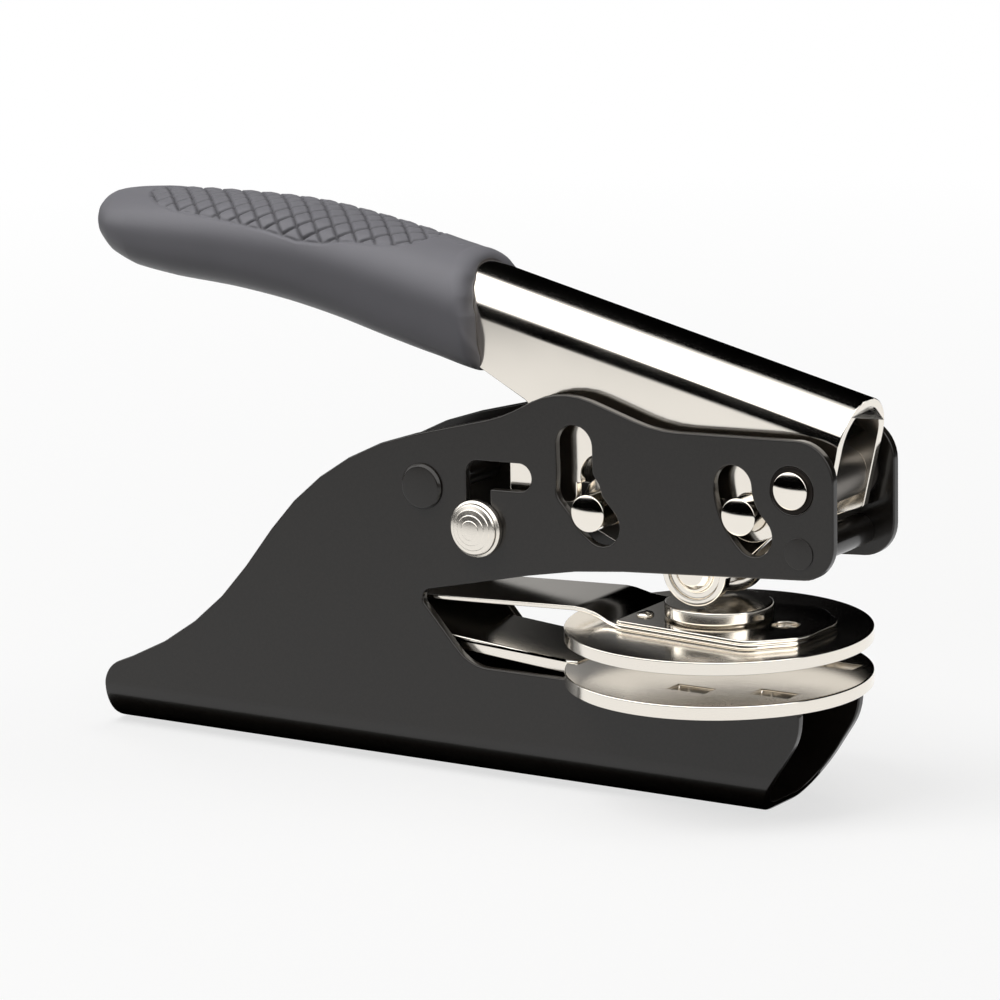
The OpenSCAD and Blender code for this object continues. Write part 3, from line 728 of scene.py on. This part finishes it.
def sleeve_mesh(material):
    """The closed sleeve: outer skin, rounded front rim and the hollow for the channel."""
    verts = []
    tread_u = []
    tread_v = []
    rings = sleeve_rings()
    for ring, outside in rings:
        arcs = [0.0]
        for a, b in zip(ring, ring[1:]):
            arcs.append(arcs[-1] + (b - a).length)
        total = arcs[-1] + (ring[0] - ring[-1]).length
        for p, s in zip(ring, arcs):
            verts.append(p * MM)
            tread_u.append(p.x if outside else 0.0)
            tread_v.append((s if s < total / 2 else s - total) if outside else OFF_TREAD)
    faces = []
    for i in range(len(rings) - 1):
        for k in range(AROUND):
            m = (k + 1) % AROUND
            faces.append((i * AROUND + k, i * AROUND + m,
                          (i + 1) * AROUND + m, (i + 1) * AROUND + k))
    for i in (0, len(rings) - 1):
        centre = sum(verts[i * AROUND:(i + 1) * AROUND], Vector()) / AROUND
        verts.append(centre)
        tread_u.append(0.0)
        tread_v.append(OFF_TREAD)
        for k in range(AROUND):
            faces.append((i * AROUND + k, len(verts) - 1, i * AROUND + (k + 1) % AROUND))
    piece = mesh_piece("grip_sleeve", verts, faces, material)
    for name, values in (("tread_u", tread_u), ("tread_v", tread_v),
                         ("tread_half", [along(TREAD, u) for u in tread_u])):
        layer = piece.data.attributes.new(name, "FLOAT", "POINT")
        layer.data.foreach_set("value", values)
    turn_outward(piece)
    return piece


def tread_tree():
    """Node group that sinks a lattice of grooves into the tread and leaves pillowed diamonds."""
    tree = bpy.data.node_groups.new("diamond_tread", "GeometryNodeTree")
    sockets = tree.interface
    sockets.new_socket("Geometry", in_out="INPUT", socket_type="NodeSocketGeometry")
    for name in ("Pitch", "Height", "Groove", "Depth"):
        sockets.new_socket(name, in_out="INPUT", socket_type="NodeSocketFloat")
    sockets.new_socket("Material", in_out="INPUT", socket_type="NodeSocketMaterial")
    sockets.new_socket("Geometry", in_out="OUTPUT", socket_type="NodeSocketGeometry")
    entry = add_node(tree, "NodeGroupInput").outputs
    stored = {name: add_node(tree, "GeometryNodeInputNamedAttribute", {"Name": name},
                             data_type="FLOAT").outputs["Attribute"]
              for name in ("tread_u", "tread_v", "tread_half")}
    u = add_node(tree, MATH, {0: stored["tread_u"], 1: entry["Pitch"]}, operation="DIVIDE")
    v = add_node(tree, MATH, {0: stored["tread_v"], 1: entry["Height"]}, operation="DIVIDE")
    half = add_node(tree, MATH, {0: entry["Groove"], 1: 0.5}, operation="MULTIPLY")
    half = add_node(tree, MATH, {0: half, 1: entry["Pitch"]}, operation="DIVIDE")
    # Distance from each family of grooves: in cells, and in half grooves up to 1
    cells = []
    walls = []
    for slant in ("ADD", "SUBTRACT"):
        lines = add_node(tree, MATH, {0: u, 1: v}, operation=slant)
        cell = add_node(tree, MATH, {0: lines, 1: 0.5}, operation="PINGPONG")
        wall = add_node(tree, MATH, {0: cell, 1: half}, operation="DIVIDE")
        cells.append(cell)
        walls.append(add_node(tree, MATH, {0: wall, 1: 1.0}, operation="MINIMUM"))
    # Rounded groove flanks
    wall = add_node(tree, MATH, {0: walls[0], 1: walls[1]}, operation="MULTIPLY")
    wall = add_node(tree, MATH, {0: wall, 1: math.pi / 2}, operation="MULTIPLY")
    wall = add_node(tree, MATH, {0: wall}, operation="SINE")
    sunk = add_node(tree, MATH, {0: 1.0, 1: wall}, operation="SUBTRACT")
    # A slight pillow on each diamond, whose middle is half a cell from both families
    pillow = add_node(tree, MATH, {0: cells[0], 1: cells[1]}, operation="MULTIPLY")
    pillow = add_node(tree, MATH, {0: 0.5 * 0.5, 1: pillow}, operation="SUBTRACT")
    pillow = add_node(tree, MATH, {0: pillow, 1: PILLOW}, operation="MULTIPLY")
    shape = add_node(tree, MATH, {0: sunk, 1: pillow}, operation="ADD")
    # The tread ends over 0.5 mm at its border
    reach = add_node(tree, MATH, {0: stored["tread_v"]}, operation="ABSOLUTE")
    room = add_node(tree, MATH, {0: stored["tread_half"], 1: reach}, operation="SUBTRACT")
    inside = add_node(tree, MATH, {0: room, 1: 2.0}, operation="MULTIPLY", use_clamp=True)
    shape = add_node(tree, MATH, {0: shape, 1: inside}, operation="MULTIPLY")
    # A fine groove runs round the tread
    border = add_node(tree, MATH, {0: room}, operation="ABSOLUTE")
    border = add_node(tree, MATH, {0: border, 1: BORDER_WIDTH}, operation="DIVIDE")
    border = add_node(tree, MATH, {0: 1.0, 1: border}, operation="SUBTRACT", use_clamp=True)
    border = add_node(tree, MATH, {0: border, 1: BORDER_DEPTH}, operation="MULTIPLY")
    shape = add_node(tree, MATH, {0: shape, 1: border}, operation="ADD")
    depth = add_node(tree, MATH, {0: entry["Depth"], 1: -MM}, operation="MULTIPLY")
    drop = add_node(tree, MATH, {0: shape, 1: depth}, operation="MULTIPLY")
    # Share of the groove depth, kept on the points for the rubber's painted shade in the grooves
    groove = add_node(tree, MATH, {0: sunk, 1: inside}, operation="MULTIPLY")
    noted = add_node(tree, "GeometryNodeStoreNamedAttribute",
                     {"Geometry": entry["Geometry"], "Name": "groove", "Value": groove},
                     data_type="FLOAT", domain="POINT")
    normal = add_node(tree, "GeometryNodeInputNormal")
    offset = add_node(tree, "ShaderNodeVectorMath", {0: normal, "Scale": drop}, operation="SCALE")
    moved = add_node(tree, "GeometryNodeSetPosition", {"Geometry": noted, "Offset": offset})
    real = add_node(tree, "GeometryNodeRealizeInstances", {0: moved})
    finished = add_node(tree, "GeometryNodeSetMaterial",
                        {"Geometry": real, "Material": entry["Material"]})
    add_node(tree, "NodeGroupOutput", {0: finished})
    return tree


# ---- Operators ------------------------------------------------------------


class EMBOSSER_OT_finishes(bpy.types.Operator):
    """Makes the finishes of the embosser"""

    bl_idname = "embosser.finishes"
    bl_label = "Make finishes"

    def execute(self, context):
        colours = settings(context).colours
        stoved_enamel(colours)
        nickel_plate(colours, "drawn_nickel_sheet", 0.1, 0.14)
        nickel_plate(colours, "turned_nickel_discs", 0.13, 0.17)
        nickel_plate(colours, "polished_nickel_pins", 0.07, 0.1)
        nickel_plate(colours, "satin_turned_nickel", 0.24, 0.3)
        turned_steel("turned_steel", colours.steel)
        turned_steel("black_oxide", colours.oxide)
        moulded_rubber(colours)
        return {"FINISHED"}


class EMBOSSER_OT_sheets(bpy.types.Operator):
    """Rounds and finishes the frame, the lever and the spring leaves"""

    bl_idname = "embosser.sheets"
    bl_label = "Finish sheet parts"

    def execute(self, context):
        edges = settings(context).edges
        for node, edge, finish in SHEETS:
            piece = cad_copy(node, bpy.data.materials[finish])
            stand_for(settle(piece, getattr(edges, edge)), node)
        return {"FINISHED"}


class EMBOSSER_OT_handle(bpy.types.Operator):
    """Finishes the nickel channel of the handle, cut square to its slope at the front"""

    bl_idname = "embosser.handle"
    bl_label = "Finish handle"

    def execute(self, context):
        nickel = bpy.data.materials["drawn_nickel_sheet"]
        channel = cad_copy("handle", nickel)
        # The cut leans with the channel's slope and passes through the front of its ridge
        lean = math.tan(math.radians(12.9))
        ridge_x, ridge_z = 28.2, 69.5
        low, high = 40, ridge_z + 20
        foot = (ridge_x - lean * (ridge_z - low), low)
        head = (ridge_x + lean * (high - ridge_z), high)
        clear_x, clear_y = 60, 20
        front = prism("front_cut", [foot, (clear_x, low), (clear_x, high), head],
                      -clear_y, clear_y, nickel)
        cut(channel, front)
        settle(channel, settings(context).edges.sheet_edge)
        stand_for(channel, "handle")
        return {"FINISHED"}


class EMBOSSER_OT_turned(bpy.types.Operator):
    """Turns the pins, spacers, rollers, knob, die plate and button"""

    bl_idname = "embosser.turned"
    bl_label = "Turn round parts"

    def execute(self, context):
        for n, (node, profile, place, axis, finish, edge, steps) in enumerate(turned_parts()):
            material = bpy.data.materials[finish]
            name = "%s_turned_%d" % (node, n)
            stand_for(turned(name, profile, place, axis, material, edge, steps), node)
        return {"FINISHED"}


class EMBOSSER_OT_lower_plate(bpy.types.Operator):
    """Stamps the lower die plate with its arm and slots"""

    bl_idname = "embosser.lower_plate"
    bl_label = "Stamp lower plate"

    def execute(self, context):
        nickel = bpy.data.materials["turned_nickel_discs"]
        # Sizes in mm; the arm rises to the rear by this fall per mm
        top, thick, radius = 21.75, 2.35, 25.5
        arm_half, fall, bend, rear = 8.5, 0.082, -22.0, -90.0
        high = top + fall * (bend - rear)
        arm = [(bend, top), (bend, top - thick), (rear, high - thick), (rear, high)]
        plate = prism("lower_plate_stamped", arm, -arm_half, arm_half, nickel)
        disc = bpy.data.meshes.new("disc")
        work = bmesh.new()
        bmesh.ops.create_cone(work, cap_ends=True, segments=256, radius1=radius * MM,
                              radius2=radius * MM, depth=thick * MM)
        bmesh.ops.translate(work, verts=work.verts, vec=(0, 0, (top - thick / 2) * MM))
        work.to_mesh(disc)
        work.free()
        disc.materials.append(nickel)
        cut(plate, add_object("disc", disc), "UNION")
        # Slots for the die's clips: half length and half width, and centres on one side
        long, wide = 3.3, 1.7
        low, high = 10, 30
        for side in (-1, 1):
            for x, y in ((3.0, 14.2), (16.4, 10.6)):
                outline = [(x - long, low), (x + long, low), (x + long, high), (x - long, high)]
                cut(plate, prism("slot", outline, side * y - wide, side * y + wide, nickel))
        settle(plate, settings(context).edges.disc_edge)
        stand_for(plate, "lower_plate")
        return {"FINISHED"}


class EMBOSSER_OT_grip(bpy.types.Operator):
    """Moulds the rubber grip with its diamond tread"""

    bl_idname = "embosser.grip"
    bl_label = "Mould grip"

    def execute(self, context):
        sizes = settings(context).grip
        rubber = bpy.data.materials["moulded_rubber"]
        sleeve = sleeve_mesh(rubber)
        tree = tread_tree()
        modifier = sleeve.modifiers.new("tread", "NODES")
        modifier.node_group = tree
        wanted = {"Pitch": sizes.pitch, "Height": sizes.height, "Groove": sizes.groove,
                  "Depth": sizes.depth, "Material": rubber}
        for item in tree.interface.items_tree:
            if item.in_out == "INPUT" and item.name in wanted:
                modifier[item.identifier] = wanted[item.name]
        freeze(sleeve)
        sleeve.data.shade_smooth()
        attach(sleeve, "handle_body")
        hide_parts("grip")
        return {"FINISHED"}


# Softboxes: name, place, size in metres and power in watts; both point at the embosser
LAMPS = (("key_softbox", (-0.4, -0.6, 1.4), 0.9, 14), ("top_softbox", (0.1, 0.3, 1.5), 1.2, 8))
LAMP_AIM = (-0.04, 0, 0.05)
# Half width of the floor, and the radius of the dark room, in metres
FLOOR_HALF = 6.0
ROOM_RADIUS = 2.4
# The floor that the camera sees is this share plain white up to the near distance in metres,
# and all white from the far one on
PAPER_NEAR, PAPER_FAR, PAPER_SHARE = 0.12, 0.6, 0.7
# The white sheet that mirrors see fades out between these distances, in metres
SHEET_NEAR, SHEET_FAR = 0.38, 0.5
# Reflectance of the floor to the light that it throws back up, and strength of the world's fill
FLOOR_BOUNCE = 0.12
FILL = 0.14
# Bands that mirrors see, in degrees and height shares: start, full, fade, end, then brightness
BOX_BAND, BOX_LEVEL = (22.0, 29.0, 90.0, 98.0), 2.2
WALL_BAND, WALL_HEIGHT, WALL_LEVEL = (119.5, 123.5, 128.0, 134.0), (0.1, 0.16, 0.3, 0.36), 0.35
# Black sheet that paints the floor's shadow round the foot for mirrors: rear and front X, half
# width and height over the floor, in metres
SHADOW_REAR, SHADOW_FRONT, SHADOW_HALF, SHADOW_HIGH = -0.12, 0.022, 0.014, 0.0004
# Reflectance of the black sheet of painted shadow
SHADOW_BLACK = 0.004


def add_lamp(name, place, size, watts):
    """A square softbox that mirrors don't see."""
    data = bpy.data.lights.new(name, "AREA")
    data.size = size
    data.energy = watts
    lamp = add_object(name, data)
    lamp.location = place
    lamp.rotation_euler = (Vector(LAMP_AIM) - Vector(place)).to_track_quat("-Z", "Y").to_euler()
    lamp.visible_glossy = False


def show_to_mirrors_only(piece):
    """Leaves a stage piece to glossy rays alone."""
    piece.visible_camera = False
    piece.visible_diffuse = False
    piece.visible_shadow = False
    piece.visible_transmission = False


def soft_band(tree, value, start, full, fade, end):
    """1 where the value lies between full and fade, easing to 0 at start and end."""
    rise = add_node(tree, "ShaderNodeMapRange",
                    {"Value": value, "From Min": start, "From Max": full},
                    interpolation_type="SMOOTHSTEP")
    fall = add_node(tree, "ShaderNodeMapRange", {
        "Value": value, "From Min": fade, "From Max": end, "To Min": 1.0, "To Max": 0.0},
        interpolation_type="SMOOTHSTEP")
    return add_node(tree, MATH, {0: rise, 1: fall}, operation="MULTIPLY")


class EMBOSSER_OT_stage(bpy.types.Operator):
    """Sets up the floor, the lights and the camera"""

    bl_idname = "embosser.stage"
    bl_label = "Set stage"

    def execute(self, context):
        scene = context.scene
        scene.view_settings.view_transform = "Standard"
        self.floor(settings(context).colours)
        self.room()
        self.mat()
        self.world(scene)
        for name, place, size, watts in LAMPS:
            add_lamp(name, place, size, watts)
        self.camera(scene, settings(context).studio)
        return {"FINISHED"}

    def floor(self, colours):
        """Pale floor that keeps the object's shadow."""
        material, tree = new_material("pale_floor")
        path = add_node(tree, "ShaderNodeLightPath").outputs
        place = add_node(tree, "ShaderNodeTexCoord").outputs["Object"]
        away = add_node(tree, "ShaderNodeVectorMath", {0: place}, operation="LENGTH")
        away = away.outputs["Value"]
        # The camera sees the floor nearly as white paper, and pure white further off
        matt = add_node(tree, "ShaderNodeBsdfDiffuse", {"Color": linear(colours.floor)})
        glow = add_node(tree, "ShaderNodeEmission", {"Color": WHITE, "Strength": 1.0})
        paper = add_node(tree, "ShaderNodeMapRange", {
            "Value": away, "From Min": PAPER_NEAR, "From Max": PAPER_FAR,
            "To Min": PAPER_SHARE, "To Max": 1.0})
        seen = add_node(tree, MATH, {0: path["Is Camera Ray"], 1: path["Is Transmission Ray"]},
                        operation="MAXIMUM")
        share = add_node(tree, MATH, {0: seen, 1: paper}, operation="MULTIPLY")
        lit = add_node(tree, "ShaderNodeMixShader", {0: share, 1: matt, 2: glow})
        # Little of its light is thrown back up, so undersides stay dark
        dull = add_node(tree, "ShaderNodeBsdfDiffuse",
                        {"Color": (FLOOR_BOUNCE, FLOOR_BOUNCE, FLOOR_BOUNCE, 1)})
        low = add_node(tree, "ShaderNodeMixShader", {0: path["Is Diffuse Ray"], 1: lit, 2: dull})
        # Mirrors see a white sheet round the object
        sheet = add_node(tree, "ShaderNodeMapRange", {
            "Value": away, "From Min": SHEET_NEAR, "From Max": SHEET_FAR,
            "To Min": 1.0, "To Max": 0.0}, interpolation_type="SMOOTHSTEP")
        bright = add_node(tree, "ShaderNodeEmission", {"Color": WHITE, "Strength": sheet})
        mixed = add_node(tree, "ShaderNodeMixShader",
                         {0: path["Is Glossy Ray"], 1: low, 2: bright})
        add_node(tree, "ShaderNodeOutputMaterial", {"Surface": mixed})
        s = FLOOR_HALF
        floor = mesh_piece("floor", [(-s, -s, 0), (s, -s, 0), (s, s, 0), (-s, s, 0)],
                           [(0, 1, 2, 3)], material)

    def room(self):
        """Dark room with one long softbox overhead, seen only by mirrors."""
        material, tree = new_material("softbox_and_dark_room")
        place = add_node(tree, "ShaderNodeTexCoord").outputs["Object"]
        axes = add_node(tree, "ShaderNodeSeparateXYZ", {0: place}).outputs
        # Height angle seen along X: 0 in front of the near side plate, 90 overhead, 180 behind
        toward = add_node(tree, MATH, {0: axes["Y"], 1: -1.0}, operation="MULTIPLY")
        angle = add_node(tree, MATH, {0: axes["Z"], 1: toward}, operation="ARCTAN2")
        angle = add_node(tree, MATH, {0: angle, 1: 180 / math.pi}, operation="MULTIPLY")
        box = soft_band(tree, angle, *BOX_BAND)
        # Grey wall behind on the left, which the flat tops of the spring leaf and the plate catch
        turn = add_node(tree, MATH, {0: axes["Y"], 1: axes["X"]}, operation="ARCTAN2")
        turn = add_node(tree, MATH, {0: turn, 1: 180 / math.pi}, operation="MULTIPLY")
        level = add_node(tree, MATH, {0: axes["Z"], 1: ROOM_RADIUS}, operation="DIVIDE")
        wall = add_node(tree, MATH, {0: soft_band(tree, turn, *WALL_BAND),
                                     1: soft_band(tree, level, *WALL_HEIGHT)},
                        operation="MULTIPLY")
        box = add_node(tree, MATH, {0: box, 1: BOX_LEVEL}, operation="MULTIPLY")
        wall = add_node(tree, MATH, {0: wall, 1: WALL_LEVEL}, operation="MULTIPLY")
        strength = add_node(tree, MATH, {0: box, 1: wall}, operation="ADD")
        glow = add_node(tree, "ShaderNodeEmission", {"Color": WHITE, "Strength": strength})
        add_node(tree, "ShaderNodeOutputMaterial", {"Surface": glow})
        mesh = bpy.data.meshes.new("dark_room")
        work = bmesh.new()
        bmesh.ops.create_uvsphere(work, u_segments=48, v_segments=24, radius=ROOM_RADIUS)
        work.to_mesh(mesh)
        work.free()
        mesh.materials.append(material)
        room = add_object("dark_room", mesh)
        show_to_mirrors_only(room)

    def mat(self):
        """Black sheet close round the foot, seen only by mirrors: painted shadow of the floor under
        the object.
        """
        material, tree = new_material("painted_shadow_black")
        shadow_shader = add_node(tree, "ShaderNodeBsdfPrincipled",
                         {"Base Color": (SHADOW_BLACK, SHADOW_BLACK, SHADOW_BLACK, 1), "Specular IOR Level": 0.0})
        add_node(tree, "ShaderNodeOutputMaterial", {"Surface": shadow_shader})
        corners = [(SHADOW_REAR, -SHADOW_HALF, SHADOW_HIGH), (SHADOW_FRONT, -SHADOW_HALF, SHADOW_HIGH),
                   (SHADOW_FRONT, SHADOW_HALF, SHADOW_HIGH), (SHADOW_REAR, SHADOW_HALF, SHADOW_HIGH)]
        # Painted shadow: a black sheet on the floor round the foot, which only mirrors see
        mat = mesh_piece("painted_floor_shadow", corners, [(0, 1, 2, 3)], material)
        show_to_mirrors_only(mat)

    def world(self, scene):
        """White surroundings to the camera, mirrors and glass, and a low fill to the rest."""
        world = bpy.data.worlds.new("studio")
        world.use_nodes = True
        scene.world = world
        tree = world.node_tree
        tree.nodes.clear()
        path = add_node(tree, "ShaderNodeLightPath").outputs
        seen = add_node(tree, MATH, {0: path["Is Camera Ray"], 1: path["Is Glossy Ray"]},
                        operation="MAXIMUM")
        seen = add_node(tree, MATH, {0: seen, 1: path["Is Transmission Ray"]},
                        operation="MAXIMUM")
        fill = add_node(tree, "ShaderNodeBackground", {"Color": WHITE, "Strength": FILL})
        white = add_node(tree, "ShaderNodeBackground", {"Color": WHITE, "Strength": 1.0})
        mixed = add_node(tree, "ShaderNodeMixShader", {0: seen, 1: fill, 2: white})
        add_node(tree, "ShaderNodeOutputWorld", {"Surface": mixed})

    def camera(self, scene, studio):
        """Camera at the photograph's viewing angle."""
        az, el, roll = studio.azimuth, studio.elevation, studio.roll
        forward = Vector((-math.sin(az) * math.cos(el), math.cos(az) * math.cos(el),
                          -math.sin(el)))
        right = Vector((math.cos(az), math.sin(az), 0))
        up = right.cross(forward)
        right_rolled = right * math.cos(roll) + up * math.sin(roll)
        up_rolled = up * math.cos(roll) - right * math.sin(roll)
        data = bpy.data.cameras.new("camera")
        data.sensor_width = 36.0
        data.lens = studio.lens
        data.clip_end = 50
        camera = add_object("camera", data)
        turn = Matrix((right_rolled, up_rolled, -forward)).transposed()
        place = Vector(studio.target) - forward * studio.distance
        camera.matrix_world = Matrix.Translation(place) @ turn.to_4x4()
        scene.camera = camera


class EmbosserSettings(bpy.types.PropertyGroup):
    """All sizes and colours of the looks."""

    edges: bpy.props.PointerProperty(type=EdgeSizes)
    grip: bpy.props.PointerProperty(type=GripSizes)
    colours: bpy.props.PointerProperty(type=FinishColours)
    studio: bpy.props.PointerProperty(type=StudioSizes)


STEPS = ("finishes", "sheets", "handle", "turned", "lower_plate", "grip", "stage")


class EMBOSSER_PT_panel(bpy.types.Panel):
    """Steps, sizes and colours of the embosser"""

    bl_label = "Seal Embosser"
    bl_space_type = "VIEW_3D"
    bl_region_type = "UI"
    bl_category = "Seal Embosser"

    def draw(self, context):
        for step in STEPS:
            self.layout.operator("embosser." + step)
        chosen = settings(context)
        for group in (chosen.edges, chosen.grip, chosen.colours, chosen.studio):
            box = self.layout.box()
            for name in group.__annotations__:
                box.prop(group, name)


CLASSES = (EdgeSizes, GripSizes, FinishColours, StudioSizes, EmbosserSettings,
           EMBOSSER_OT_finishes, EMBOSSER_OT_sheets, EMBOSSER_OT_handle, EMBOSSER_OT_turned,
           EMBOSSER_OT_lower_plate, EMBOSSER_OT_grip, EMBOSSER_OT_stage, EMBOSSER_PT_panel)


def register():
    """Registers the settings, operators and panel."""
    for cls in CLASSES:
        bpy.utils.register_class(cls)
    bpy.types.Scene.embosser = bpy.props.PointerProperty(type=EmbosserSettings)


def unregister():
    """Takes them out again."""
    del bpy.types.Scene.embosser
    for cls in reversed(CLASSES):
        bpy.utils.unregister_class(cls)


def main():
    """Makes every piece and the stage."""
    register()
    for step in STEPS:
        getattr(bpy.ops.embosser, step)()


if __name__ == "__main__":
    main()
